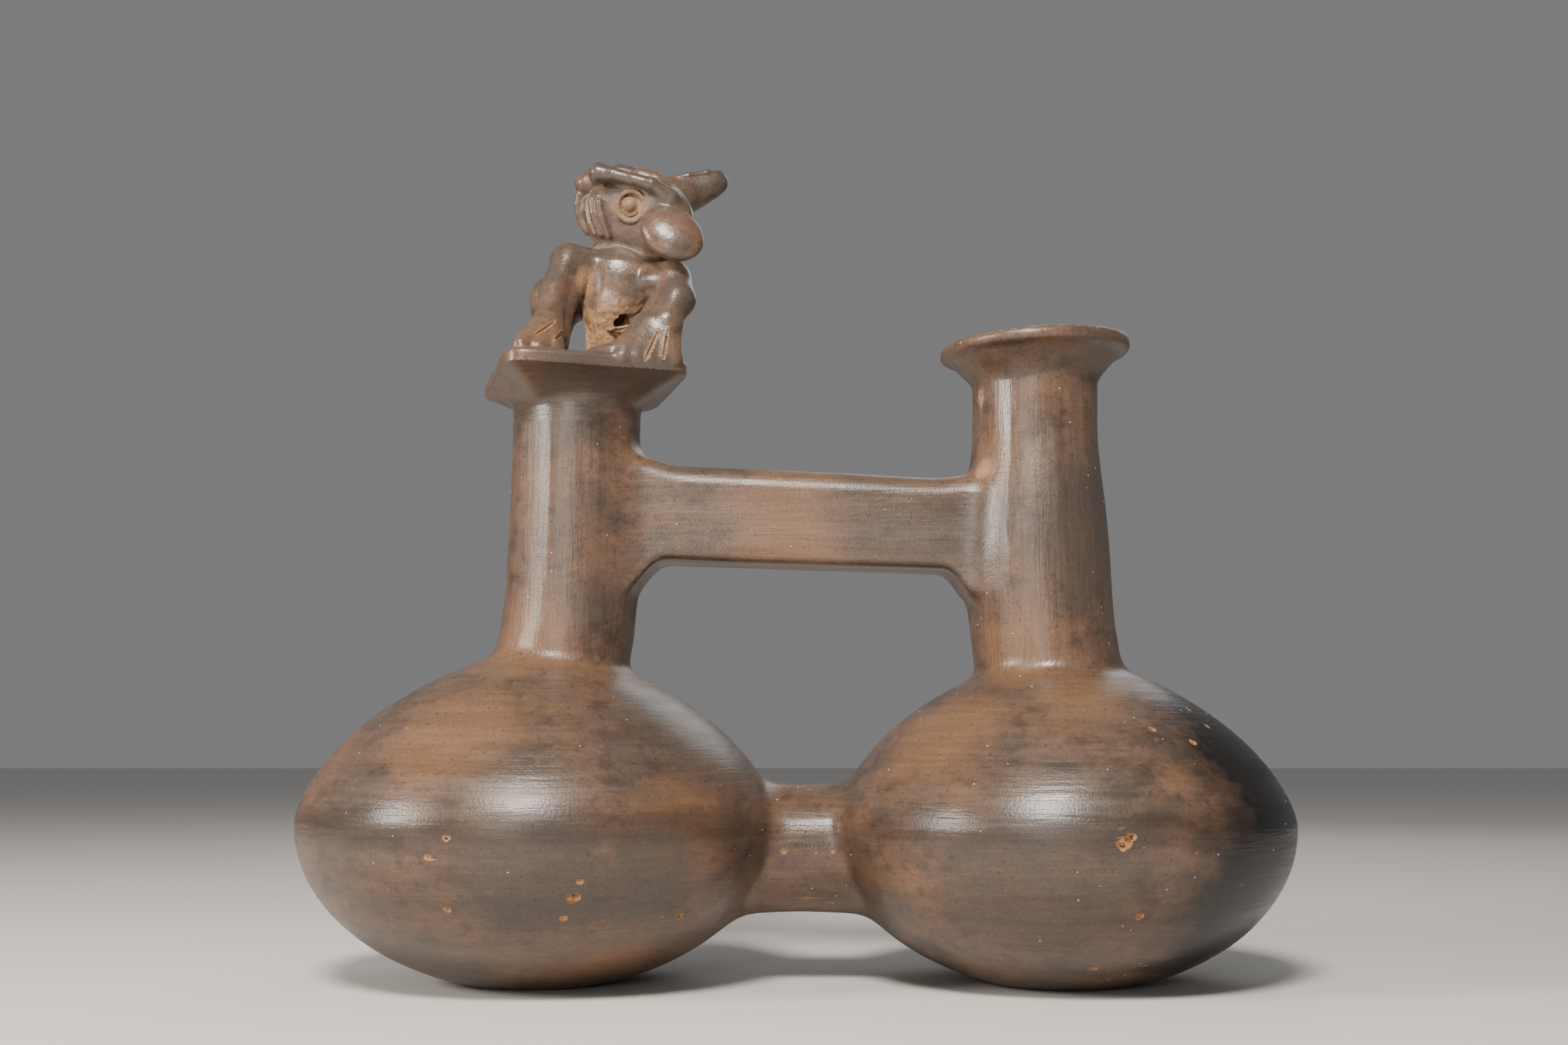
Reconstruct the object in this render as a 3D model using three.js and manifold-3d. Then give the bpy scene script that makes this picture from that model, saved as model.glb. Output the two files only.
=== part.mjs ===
// A double-chambered whistling vessel of burnished brown clay. Two round chambers stand side by side
// and are joined by a low tube. The right one ends in an open neck with a flaring lip. The left one
// ends in a closed neck under a small square platform, where an animal with round eyes and large ears
// leans on its forelegs. Its hollow chest is the whistle: a narrow duct leads up to it from the left
// neck. A thick bar joins the two necks. All of it was modelled in one clay and fired as one piece.
//
// Millimetres, +Z up. +X is to the right as the animal's eye faces the viewer, +Y is away from the
// viewer, and the origin is on the floor under the middle of the vessel.

import * as THREE from "three";
import { mergeVertices } from "three/addons/utils/BufferGeometryUtils.js";
import { ConvexGeometry } from "three/addons/geometries/ConvexGeometry.js";
import Module from "manifold-3d";

// Driving dimensions. A chamber is round in plan. Above its widest level, the equator, it is a little
// pointed, and below it is a plain ellipse that the floor cuts flat.
const WALL = 5;
const LEFT_CHAMBER = { x: -62.2, equator: 38.5, radius: 58, rise: 42, fall: 40 };
const RIGHT_CHAMBER = { x: 64.5, equator: 37.5, radius: 55.7, rise: 41.4, fall: 39.6 };
const POINTED = 1.6;
const ROUND = 2;

const NECK_FOOT = 68;
const LEFT_NECK = { top: 141, bore: 12, boreFoot: 66, boreTop: 142 };
const RIGHT_NECK = { top: 146, bore: 12, boreFoot: 64, boreTop: 150 };
const LIP = { radius: 23.6, bottom: 153.4, top: 157, lean: 0.044 };

const TUBE = { level: 32.1, radius: 15.8, bore: 10.8, halfLength: 24, middle: 1.5 };
const BAR = { depth: 19, edge: 3, rise: 124, sink: 100.2 };
const PLATFORM = { x: -53.4, halfSide: 22.7, turn: 16, top: 149.6, thickness: 3.4, foot: 138.4,
  fallBack: 0.045 };
const HEAD = { forward: 13, side: 8.6, up: 10, power: 3.2 };
const EYE = { up: 3, ring: 3.5, roll: 0.7, ball: 2.1 };

const CLAY = 0x6f5644;
const ROUND_SIDES = 30;
const NECK_SIDES = 20;
const PLATFORM_SIDES = 24;

const wasm = await Module();
wasm.setup();

// Solids from three.js geometry

const point = (x, y, z) => new THREE.Vector3(x, y, z);

// A closed geometry as a solid that can be joined and cut. Triangles that a pole has pinched to a line
// are left out.
function solid(geometry) {
  const bare = geometry.index ? geometry.toNonIndexed() : geometry.clone();
  for (const name of Object.keys(bare.attributes)) if (name !== "position") bare.deleteAttribute(name);
  const merged = mergeVertices(bare, 1e-4);
  const corners = [];
  const index = merged.index.array;
  for (let i = 0; i < index.length; i += 3) {
    const [a, b, c] = index.slice(i, i + 3);
    if (a !== b && b !== c && c !== a) corners.push(a, b, c);
  }
  return new wasm.Manifold(new wasm.Mesh({
    numProp: 3,
    vertProperties: merged.attributes.position.array,
    triVerts: new Uint32Array(corners),
  }));
}

const join = (solids) => solids.reduce((whole, next) => whole.add(next));

// A solid turned on the vertical axis from a profile of [radius, height] pairs that starts and ends on
// the axis and rises. Its centre line may bend: centre(height) is where it stands.
function turned(profile, sides, centre) {
  const outline = profile.map(([radius, height]) => new THREE.Vector2(radius, height));
  const geometry = new THREE.LatheGeometry(outline, sides).rotateX(Math.PI / 2);
  const place = geometry.attributes.position;
  for (let i = 0; i < place.count; i += 1) place.setX(i, place.getX(i) + centre(place.getZ(i)));
  return solid(geometry);
}

// An egg of clay with its three radii along three axes. The first axis is exact, and the second is
// turned square to it.
function egg(centre, radii, sides, first = point(1, 0, 0), second = point(0, 1, 0)) {
  const a = first.clone().normalize();
  const c = a.clone().cross(second).normalize();
  const b = c.clone().cross(a);
  const turn = new THREE.Matrix4().makeBasis(a, b, c);
  const shape = new THREE.SphereGeometry(1, sides, Math.round(sides * 0.6));
  shape.scale(...radii).applyMatrix4(turn).translate(centre.x, centre.y, centre.z);
  return solid(shape);
}

// A lump of clay: the hull of balls given as [x, y, z, radius].
function lump(balls, sides = 7) {
  const cloud = [];
  for (const [x, y, z, radius] of balls) {
    const ball = new THREE.SphereGeometry(radius, sides, Math.round(sides * 0.6)).translate(x, y, z);
    const place = ball.attributes.position;
    for (let i = 0; i < place.count; i += 1) cloud.push(point(0, 0, 0).fromBufferAttribute(place, i));
  }
  return solid(new ConvexGeometry(cloud));
}

// Rolls of clay laid end to end through [x, y, z, radius] stations.
const rolls = (stations, sides) => join(stations.slice(1).map((end, i) => lump([stations[i], end], sides)));

// A solid between level rings of points that all have the same count, from the lowest ring up.
function stack(rings) {
  const count = rings[0].length;
  const middle = (ring) => ring.reduce((sum, p) => sum.add(p), point(0, 0, 0)).divideScalar(count);
  const all = [...rings.flat(), middle(rings[0]), middle(rings.at(-1))];
  const index = [];
  for (let i = 0; i < count; i += 1) {
    const next = (i + 1) % count;
    for (let row = 0; row < rings.length - 1; row += 1) {
      const [a, b] = [row * count + i, row * count + next];
      index.push(a, b, b + count, a, b + count, a + count);
    }
    index.push(next, i, all.length - 2);
    index.push((rings.length - 1) * count + i, (rings.length - 1) * count + next, all.length - 1);
  }
  const geometry = new THREE.BufferGeometry().setFromPoints(all);
  return solid(geometry.setIndex(index));
}

// A level ring of points round a centre. reach(angle) is how far out each of them is, and start is where
// angle 0 lies.
function ring(x, y, z, count, reach, start = 0) {
  const points = [];
  for (let i = 0; i < count; i += 1) {
    const angle = (i / count) * 2 * Math.PI;
    const out = reach(angle);
    points.push(point(x + out * Math.cos(angle + start), y + out * Math.sin(angle + start), z));
  }
  return points;
}

const smooth = (low, high, value) => THREE.MathUtils.smoothstep(value, low, high);
const mix = THREE.MathUtils.lerp;

// The two chambers, their necks and what joins them

// Half of a chamber's profile, as [radius, height] pairs from the equator (share 0) to the pole
// (share 1). inset is how far inside the outer face it runs.
function quarter(chamber, reach, power, inset, steps) {
  const pairs = [];
  for (let i = 0; i <= steps; i += 1) {
    const angle = (i / steps) * Math.PI / 2;
    const radius = (chamber.radius - inset) * Math.cos(angle) ** (2 / power);
    pairs.push([i === steps ? 0 : radius, (reach - inset) * Math.sin(angle) ** (2 / power)]);
  }
  return pairs;
}

function chamberSolid(chamber, inset, sides, steps) {
  const lower = quarter(chamber, chamber.fall, ROUND, inset, steps).map(([r, h]) => [r, chamber.equator - h]);
  const upper = quarter(chamber, chamber.rise, POINTED, inset, steps).map(([r, h]) => [r, chamber.equator + h]);
  return turned([...lower.reverse(), ...upper.slice(1)], sides, () => chamber.x);
}

// Where a neck stands at each height, and how thick it is there. The clay swells where a neck was
// pressed on to its chamber.
const leftCentre = (z) => -54.7 - 2.6 * Math.exp((80 - Math.max(z, 76)) / 12);
const leftRadius = (z) => 16.9 - 0.0165 * (z - 80) + 1.2 * Math.exp((78 - Math.max(z, 72)) / 3);
const rightCentre = (z) => 60 + 1.7 * Math.exp((79 - Math.max(z, 74)) / 14);
const rightRadius = (z) => mix(18.1, 15.5, smooth(100, 140, z)) + Math.exp((76 - Math.max(z, 70)) / 2.5);

function neckProfile(radius, heights) {
  return heights.map((height) => [radius(height), height]);
}

function leftNeck() {
  const heights = [NECK_FOOT, 73, 76, 79, 83, 90, LEFT_NECK.top];
  const side = neckProfile(leftRadius, heights);
  return turned([[0, NECK_FOOT], ...side, [0, LEFT_NECK.top]], NECK_SIDES, leftCentre);
}

// The open neck and its lip are one turning. The lip hangs a little lower on the left.
function rightNeck() {
  const heights = [NECK_FOOT, 71, 74, 77, 80, 100, 120, 132, RIGHT_NECK.top];
  const side = neckProfile(rightRadius, heights);
  const flare = [[17.3, 149.2], [20, 151.4], [22.6, 152.9], [LIP.radius, LIP.bottom + 1],
    [LIP.radius, LIP.top - 1.1], [LIP.radius - 1.2, LIP.top]];
  const whole = turned([[0, NECK_FOOT], ...side, ...flare, [0, LIP.top]], NECK_SIDES, rightCentre);
  return leanLip(whole);
}

const leanLip = (shape) => shape.warp((vertex) => {
  vertex[2] += LIP.lean * (vertex[0] - rightCentre(LIP.top)) * smooth(140, 152, vertex[2]);
});

function neckBores() {
  const left = [[0, LEFT_NECK.boreFoot], [14, LEFT_NECK.boreFoot], [LEFT_NECK.bore, 84],
    [LEFT_NECK.bore - 1, LEFT_NECK.boreTop - 4], [8, LEFT_NECK.boreTop], [0, LEFT_NECK.boreTop]];
  const right = [[0, RIGHT_NECK.boreFoot], [15, RIGHT_NECK.boreFoot], [RIGHT_NECK.bore + 1, 84],
    [RIGHT_NECK.bore, 140], [RIGHT_NECK.bore, 148], [14.5, 152], [19, 155], [21.4, 157.2], [21.4, 160],
    [0, 160]];
  return turned(left, 14, leftCentre).add(leanLip(turned(right, 14, rightCentre)));
}

// The low tube between the chambers, thicker towards its ends.
function tube(radius, swell, sides) {
  const profile = [[0, -TUBE.halfLength]];
  for (let i = -4; i <= 4; i += 1) {
    const along = (i / 4) * TUBE.halfLength;
    profile.push([radius + swell * (along / TUBE.halfLength) ** 2, along]);
  }
  profile.push([0, TUBE.halfLength]);
  const outline = profile.map(([r, along]) => new THREE.Vector2(r, along));
  const geometry = new THREE.LatheGeometry(outline, sides).rotateZ(-Math.PI / 2);
  return solid(geometry.translate(TUBE.middle, 0, TUBE.level));
}

// The bar between the necks, drawn from the front: nearly level, deeper where it meets each neck.
function bar() {
  const outline = new THREE.Shape();
  outline.moveTo(-52, BAR.rise + 5.5);
  outline.lineTo(-44, BAR.rise + 5.5);
  outline.quadraticCurveTo(-38, BAR.rise + 3, -30, BAR.rise + 2.4);
  outline.bezierCurveTo(-12, BAR.rise + 0.8, 14, BAR.rise - 1, 38, BAR.rise - 1.6);
  outline.quadraticCurveTo(43, BAR.rise - 1.4, 44.6, BAR.rise + 3);
  outline.lineTo(56, BAR.rise + 3);
  outline.lineTo(56, BAR.sink - 9);
  outline.lineTo(43.2, BAR.sink - 9);
  outline.quadraticCurveTo(40.6, BAR.sink - 3, 34, BAR.sink - 2);
  outline.bezierCurveTo(14, BAR.sink, -12, BAR.sink + 0.6, -28, BAR.sink - 0.4);
  outline.quadraticCurveTo(-36, BAR.sink - 1.4, -39.6, BAR.sink - 9);
  outline.lineTo(-52, BAR.sink - 9);
  const shape = new THREE.ExtrudeGeometry(outline, { depth: BAR.depth - 2 * BAR.edge, curveSegments: 3,
    bevelSize: BAR.edge, bevelThickness: BAR.edge, bevelOffset: -BAR.edge, bevelSegments: 1 });
  return solid(shape.rotateX(Math.PI / 2).translate(0, BAR.depth / 2 - BAR.edge, 0));
}

// The platform. Its underside swells from the round neck out to a square with rounded corners, and the
// whole of it is turned and hangs a little to the back.
function platform() {
  const { x, halfSide, turn, top, thickness, foot } = PLATFORM;
  const start = THREE.MathUtils.degToRad(turn);
  const square = (angle) => halfSide / (Math.abs(Math.cos(angle)) ** 9 + Math.abs(Math.sin(angle)) ** 9) ** (1 / 9);
  const at = (z, share, inset) => ring(mix(leftCentre(foot), x, share), 0, z, PLATFORM_SIDES,
    (angle) => mix(leftRadius(foot) - 0.6, square(angle) - inset, share), start);
  const under = top - thickness;
  const shape = stack([at(foot - 1, 0, 0), at(foot + 2.4, 0.2, 0), at(foot + 5, 0.56, 0), at(under, 1, 0.4),
    at(top - 1, 1, 0), at(top, 1, 1)]);
  return shape.warp((vertex) => {
    vertex[2] -= PLATFORM.fallBack * vertex[1] * smooth(foot, under, vertex[2]);
  });
}

// The animal

// The chest stands on the platform on its point, as a cone, and is broader to the right. The body goes
// on behind it.
function body() {
  const cone = rolls([[-48.8, -1.5, 148, 3.5], [-48.3, -1.5, 157, 4], [-46.8, -1.2, 165.5, 6.6],
    [-45.6, 1.8, 173.5, 9.4], [-44, 6, 181, 8]], 9);
  return join([
    cone,
    egg(point(-40.6, -0.6, 172.8), [6.6, 6.6, 8], 9),
    egg(point(-46, 8, 177.2), [9.2, 12.2, 8], 10),
    lump([[-46.8, 13.8, 174, 7.4], [-46.4, 10, 175, 7.4]], 9),
  ]);
}

function leftForeleg() {
  const arm = rolls([[-50, -2.5, 176.6, 4.2], [-57, -4.4, 177.4, 4.4], [-60, -9.6, 168, 3.6],
    [-60.4, -13.6, 161, 3.3]], 7);
  const inner = rolls([[-55, -4, 175, 4.2], [-57.4, -8, 166, 2.8], [-58.4, -12.5, 156, 2.6]]);
  const paw = lump([[-60.6, -14.6, 159.4, 3.1], [-65.8, -23.6, 151.6, 2.3], [-61.8, -22.6, 151, 2.2],
    [-57.8, -20.8, 150.6, 2.2]], 7);
  return join([arm, inner, paw]);
}

// The right foreleg bends out at the elbow and comes back in to a broad paw. The skin of the paw spreads
// along the near edge of the platform.
function rightForeleg() {
  const arm = rolls([[-38, -2, 172.5, 5.4], [-31.2, -5.5, 172.2, 4.8], [-29.4, -9, 166.5, 4.3],
    [-31.6, -12.4, 160.5, 3.6]], 7);
  const spread = rolls([[-34.4, -8, 165, 3], [-38, -12.4, 158.8, 2.1], [-42.4, -17, 152.4, 2.1],
    [-49, -20, 150.4, 1.5]]);
  const paw = lump([[-31, -13, 159.4, 2.8], [-36, -12.6, 159, 2.4], [-42, -18.6, 149.9, 2],
    [-35.6, -17.4, 149.9, 2], [-29.6, -15.6, 149.9, 2]], 7);
  return join([arm, spread, paw]);
}

function hindLegs() {
  return join([
    rolls([[-51, 12, 174, 6], [-61.8, 9.5, 170.6, 6.4], [-62.6, 6, 158.5, 4.1], [-63.4, -1, 151, 2.9]]),
    rolls([[-45, 13, 174, 6], [-36.5, 13, 169.5, 6.4], [-36.5, 10, 157, 4.7], [-37, 3, 150.4, 2.9]]),
  ]);
}

// The head is turned to the left, looks up and rolls over towards the viewer. A place on it is given
// forward, to the near side and up from the middle of the skull, and onHead brings it into the vessel's
// own directions.
const SKULL = point(-40.4, 0.5, 190.5);
const SIDE = point(-0.17, -0.93, -0.33).normalize();
const FORWARD = point(-0.966, 0.09, 0.24).normalize();
const UP = FORWARD.clone().cross(SIDE).normalize();

function onHead([forward, side, up, radius]) {
  const place = SKULL.clone().addScaledVector(FORWARD, forward);
  place.addScaledVector(SIDE, side).addScaledVector(UP, up);
  return [place.x, place.y, place.z, radius];
}

const mirrored = ([forward, side, up, radius]) => [forward, -side, up, radius];
const bothSides = (make, stations, sides) => join([
  make(stations.map(onHead), sides),
  make(stations.map(mirrored).map(onHead), sides),
]);
const headEgg = (place, radii) => egg(point(...onHead(place)), radii, 9, FORWARD, SIDE);

// How far the side of the skull stands from its middle plane.
function cheek(forward, up) {
  const left = 1 - Math.abs(forward / HEAD.forward) ** HEAD.power - Math.abs((up + 1) / HEAD.up) ** HEAD.power;
  return HEAD.side * Math.max(left, 0) ** (1 / HEAD.power);
}

function head() {
  const half = [[8.4, 4.4, 4.6, 4.2], [8, 4.4, -2.4, 4.1], [1.5, 4.4, -6.6, 4.2], [-7, 4, -6.2, 4.4],
    [-8, 4.2, 4, 4.2]];
  const skull = lump([...half, ...half.map(mirrored)].map(onHead), 9);
  return join([skull, headEgg([-6, 0, -4], [9, 8, 8]), brow(), muzzle(), folds(), eyes(), ears()]);
}

// A thick ridge stands over each eye. The far one is notched.
function brow() {
  const near = [[9.4, 8, 9.2, 2.8], [6, 8.5, 9.7, 1.9], [0.5, 8.8, 9.7, 1.6], [-4.4, 8.8, 9.4, 1.8],
    [-9.4, 7.6, 7.2, 2]];
  const far = [[8.4, -7.6, 9.3, 2.3], [5.6, -8, 9.5, 2]];
  const crest = [[3, -8.2, 9.6, 2], [-1, -8.2, 9.3, 2], [-5.4, -8, 8.4, 2]];
  return join([
    rolls(near.map(onHead), 6),
    rolls(far.map(onHead), 6),
    rolls(crest.map(onHead), 6),
    headEgg([0.5, 0, 7.4], [9.6, 8.4, 3.4]),
  ]);
}

// Two nostril bulges over the rim of the open mouth.
function muzzle() {
  const upper = [14.4, 0, 3.4, 1.1];
  const corner = [12.5, 4.8, -4, 1];
  const rim = [upper, [14.6, 4.2, 2.6, 1], [14.5, 4.8, 0.4, 1], [13.9, 4.8, -1.8, 1], corner,
    [10.6, 5.2, -6, 0.9]];
  const lower = [corner, [12.6, 0, -4.6, 1.2]];
  return join([
    bothSides(rolls, rim, 5),
    bothSides(rolls, lower, 5),
    bothSides(lump, [[13.6, 2.8, 5.6, 3], [11.5, 0, 4.6, 3]], 7),
    headEgg([11.5, 0, -0.6], [4, 6.2, 5.6]),
  ]);
}

// Two finger-like folds stand side by side behind each corner of the mouth.
function folds() {
  const made = [];
  for (const back of [0, 2.2]) {
    const stations = [[10.3, 2.4, 1.1], [9, -0.8, 1.15], [6.4, -5.4, 1]].map(([forward, up, radius]) => (
      [forward - back, cheek(forward - back, up) + 0.4, up, radius]
    ));
    made.push(bothSides(rolls, stations, 5));
  }
  return join(made);
}

// A round eye: a ball inside a raised ring, on each side of the head.
function eyes() {
  const made = [];
  const level = cheek(0, EYE.up);
  for (const outward of [1, -1]) {
    const ball = onHead([0.4, outward * (level - 0.8), EYE.up + 0.3, EYE.ball]);
    const middle = onHead([0, outward * level, EYE.up]);
    const round = new THREE.TorusGeometry(EYE.ring, EYE.roll, 4, 10);
    const facing = SIDE.clone().multiplyScalar(outward);
    round.applyQuaternion(new THREE.Quaternion().setFromUnitVectors(point(0, 0, 1), facing));
    made.push(solid(round.translate(...middle.slice(0, 3))), lump([ball], 8));
  }
  return join(made);
}

// The near ear hangs over the cheek, and the far one stands up.
function ears() {
  const farAxes = [point(0.9, 0.16, 0.4), point(-0.4, -0.1, 0.9)];
  return join([
    egg(point(-30.7, -11.4, 182.6), [8.5, 6.9, 3.3], 12, point(0.76, -0.08, -0.64), point(0.62, 0.3, 0.72)),
    egg(point(-33, -6, 190.2), [8.6, 6.8, 5], 9, point(0.6, -0.1, -0.78), point(0.78, 0.2, 0.56)),
    egg(point(-28.4, 7.6, 198.6), [7.6, 5.1, 3.4], 9, ...farAxes),
    egg(point(-22.6, 9, 201.3), [5.4, 3.9, 3], 9, ...farAxes),
    lump([[-34, 3.4, 196, 4.4], [-29, 6.4, 197.4, 4]]),
  ]);
}

// Inside the vessel: the chambers, the tube and the necks are open to each other. A narrow duct runs
// from the closed neck to the hollow chest, which is broken open low on its right side.
function hollow() {
  const whistle = egg(point(-45.4, 3.6, 171.6), [5.2, 6.6, 5], 10);
  const duct = rolls([[-50.6, -1.5, 138, 1.9], [-48.9, -1.5, 158, 1.7], [-46, 0.5, 168, 1.9]], 6);
  const breach = lump([[-40.6, -9.4, 159.4, 2.4], [-45.4, -1.6, 163.4, 2.2]]);
  return join([
    chamberSolid(LEFT_CHAMBER, WALL, 15, 4),
    chamberSolid(RIGHT_CHAMBER, WALL, 15, 4),
    tube(TUBE.bore, 0, 12),
    neckBores(),
    whistle,
    duct,
    breach,
  ]);
}

// The cuts between the toes are long, narrow and shallow.
function slits() {
  const cuts = [[[-33.3, -17, 157], [-36.6, -20.4, 147.8]], [[-31.2, -16.4, 157], [-32, -19.2, 148.4]],
    [[-58, -18.6, 159.2], [-62.8, -23.4, 154.2]]];
  return join(cuts.map(([start, end]) => {
    const along = point(...end).sub(point(...start));
    const middle = point(...start).lerp(point(...end), 0.5);
    return egg(middle, [along.length() / 2, 0.42, 1.3], 6, along, point(1, 0.2, 0));
  }));
}

// Everything below the floor is cut away, which leaves a small flat foot under each chamber.
function floorCut() {
  return solid(new THREE.BoxGeometry(300, 200, 20).translate(0, 0, -10));
}

function vessel() {
  const outside = join([
    chamberSolid(LEFT_CHAMBER, 0, ROUND_SIDES, 7),
    chamberSolid(RIGHT_CHAMBER, 0, ROUND_SIDES, 7),
    leftNeck(),
    rightNeck(),
    tube(TUBE.radius, 2.6, 16),
    bar(),
    platform(),
    body(),
    leftForeleg(),
    rightForeleg(),
    hindLegs(),
    head(),
  ]);
  return outside.subtract(hollow()).subtract(slits()).subtract(floorCut());
}

function meshOf(name, shape) {
  const { vertProperties, triVerts, numProp } = shape.getMesh();
  const place = new Float32Array((vertProperties.length / numProp) * 3);
  for (let i = 0; i < place.length / 3; i += 1) {
    place.set(vertProperties.subarray(i * numProp, i * numProp + 3), i * 3);
  }
  const geometry = new THREE.BufferGeometry();
  geometry.setAttribute("position", new THREE.BufferAttribute(place, 3));
  geometry.setIndex(new THREE.BufferAttribute(new Uint32Array(triVerts), 1));
  geometry.computeVertexNormals();
  const material = new THREE.MeshStandardMaterial({ color: CLAY, roughness: 0.42, metalness: 0 });
  const mesh = new THREE.Mesh(geometry, material);
  mesh.name = name;
  return mesh;
}

const whistlingVessel = new THREE.Group();
whistlingVessel.add(meshOf("vessel", vessel()));

export default whistlingVessel;
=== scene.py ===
# %% [markdown]
# A whistling vessel
#
# Two round chambers of burnished brown clay stand side by side. A low tube joins them, so water that is
# poured into the open neck on the right pushes air out on the left, where an animal crouches on the
# closed neck. Its hollow chest is the whistle. A thick bar ties the two necks together.
#
# The potter joined wet clay to wet clay and smoothed every joint with a finger, so this lesson models the
# vessel the same way: each part is a distance in space, and joining two distances softly leaves the
# same small fillet that a finger leaves. All of it was fired as one piece, so it ends as one mesh.

# %% Load the fixed frame
import math

import bmesh
import bpy
import numpy as np
import openvdb
from mathutils import Matrix, Vector


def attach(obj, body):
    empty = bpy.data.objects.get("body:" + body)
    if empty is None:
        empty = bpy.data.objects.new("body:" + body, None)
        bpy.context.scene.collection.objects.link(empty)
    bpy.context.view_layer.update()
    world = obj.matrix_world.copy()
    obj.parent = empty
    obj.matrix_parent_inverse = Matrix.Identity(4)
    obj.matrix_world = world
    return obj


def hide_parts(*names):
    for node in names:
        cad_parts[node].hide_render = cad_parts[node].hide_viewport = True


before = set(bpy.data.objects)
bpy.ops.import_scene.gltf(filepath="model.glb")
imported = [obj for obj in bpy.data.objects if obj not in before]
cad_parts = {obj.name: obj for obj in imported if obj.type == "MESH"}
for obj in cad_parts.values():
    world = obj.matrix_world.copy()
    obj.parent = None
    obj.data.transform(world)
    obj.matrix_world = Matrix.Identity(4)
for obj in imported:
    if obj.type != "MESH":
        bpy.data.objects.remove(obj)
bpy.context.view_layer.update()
MM = 0.001

# %% [markdown]
# Working with distances
#
# A distance function takes places as three arrays, x, y and z in millimetres, and says how far each of
# them is from the clay: below zero is inside. Every form below is built from balls, rolls and turned
# profiles. They could be ordinary meshes joined with Booleans, but those meet in hard creases, and hand
# modelled clay has none.

# %% Distances, and how two of them are joined or cut
def join(first, second, width):
    """Both clays in one, with a soft fillet about as wide as width where they meet."""
    near = np.maximum(width - np.abs(first - second), 0) / width
    return np.minimum(first, second) - near ** 3 * width / 6


def cut(clay, tool, width):
    """The clay without the tool, with its cut edge rounded over width."""
    return -join(-clay, tool, width)


def ramp(low, high, value):
    share = np.clip((value - low) / (high - low), 0, 1)
    return share * share * (3 - 2 * share)


def mix(start, end, share):
    return start + (end - start) * share


def ball(place, centre, radius):
    return np.sqrt(sum((p - c) ** 2 for p, c in zip(place, centre))) - radius


def egg(place, centre, radii, first=(1, 0, 0), second=(0, 1, 0)):
    """A ball stretched to three radii. Its first axis is exact and its second is turned square to it."""
    a = Vector(first).normalized()
    c = a.cross(Vector(second)).normalized()
    away = [p - q for p, q in zip(place, centre)]
    along = [sum(d * n for d, n in zip(away, axis)) for axis in (a, c.cross(a), c)]
    near = np.sqrt(sum((d / r) ** 2 for d, r in zip(along, radii)))
    slope = np.sqrt(sum((d / r ** 2) ** 2 for d, r in zip(along, radii))) + 1e-9
    return near * (near - 1) / slope


def roll(place, start, end):
    """A roll of clay between two (x, y, z, radius) stations."""
    axis = np.subtract(end[:3], start[:3])
    away = [p - s for p, s in zip(place, start)]
    share = np.clip(sum(d * a for d, a in zip(away, axis)) / np.dot(axis, axis), 0, 1)
    reach = np.sqrt(sum((d - share * a) ** 2 for d, a in zip(away, axis)))
    return reach - mix(start[3], end[3], share)


def rolls(place, stations, width):
    """Rolls laid end to end, smoothed into one limb."""
    limb = roll(place, stations[0], stations[1])
    for start, end in zip(stations[1:], stations[2:]):
        limb = join(limb, roll(place, start, end), width)
    return limb


# %% [markdown]
# The hand's unevenness
#
# No chamber is a perfect turning. A slow swell of a few tenths of a millimetre is enough for highlights
# to wander as they do on hand-built pots. It comes from a lattice of random numbers with a fixed seed,
# blended smoothly between its points.

# %% A slow random swell
LATTICE = np.random.default_rng(7).random((32, 32, 32)) * 2 - 1


def swell(place, size):
    """A smooth random number from -1 to 1 whose lumps are about size across."""
    steps = [np.floor(p / size) for p in place]
    shares = [ramp(0, 1, p / size - s) for p, s in zip(place, steps)]
    cells = [s.astype(int) for s in steps]
    total = 0
    for corner in range(8):
        picks = [corner & 1, corner >> 1 & 1, corner >> 2]
        weight = 1
        for share, pick in zip(shares, picks):
            weight = weight * (share if pick else 1 - share)
        total = total + weight * LATTICE[tuple((cell + pick) % 32 for cell, pick in zip(cells, picks))]
    return total


# %% [markdown]
# The chambers
#
# Seen from the front each chamber is round below and a little pointed above, with a soft keel where the
# two bowls were luted together. A superellipse draws that with one number for each half. The floor
# cuts the lowest part away as a small flat foot.

# %% Chamber sizes and their distance
LEFT = {"x": -62.2, "equator": 38.5, "radius": 58.0, "rise": 42.0, "fall": 40.0}
RIGHT = {"x": 64.5, "equator": 37.5, "radius": 55.7, "rise": 41.4, "fall": 39.6}
WALL = 5.0
POINTED, ROUND = 1.6, 2.0


def chamber(place, size, inset=0):
    x, y, z = place
    out = np.hypot(x - size["x"], y) / (size["radius"] - inset)
    up = z - size["equator"]
    high = up > 0
    power = np.where(high, POINTED, ROUND)
    half = np.where(high, size["rise"], size["fall"]) - inset
    level = np.abs(up) / half
    reach = (out ** power + level ** power) ** (1 / power) + 1e-9
    slope = np.hypot((out / reach) ** (power - 1) / (size["radius"] - inset),
                     (level / reach) ** (power - 1) / half)
    return (reach - 1) / slope


# %% [markdown]
# The necks and the lip
#
# Both necks were scraped upright, which leaves narrow flats. The right one flares into a lip that hangs
# a little lower on its left. Each neck stands on its chamber with a small roll of clay pressed into the
# joint.

# %% Necks and lip
def left_centre(z):
    """Where the left neck's axis stands. Near its foot it bends towards the chamber's middle."""
    return -54.7 - 2.6 * np.exp((80 - np.maximum(z, 76)) / 12)


def left_radius(z):
    return 16.9 - 0.0165 * (z - 80)


def right_centre(z):
    return 60 + 1.7 * np.exp((79 - np.maximum(z, 74)) / 14)


def right_radius(z):
    return mix(18.1, 15.5, ramp(100, 140, z))


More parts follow.
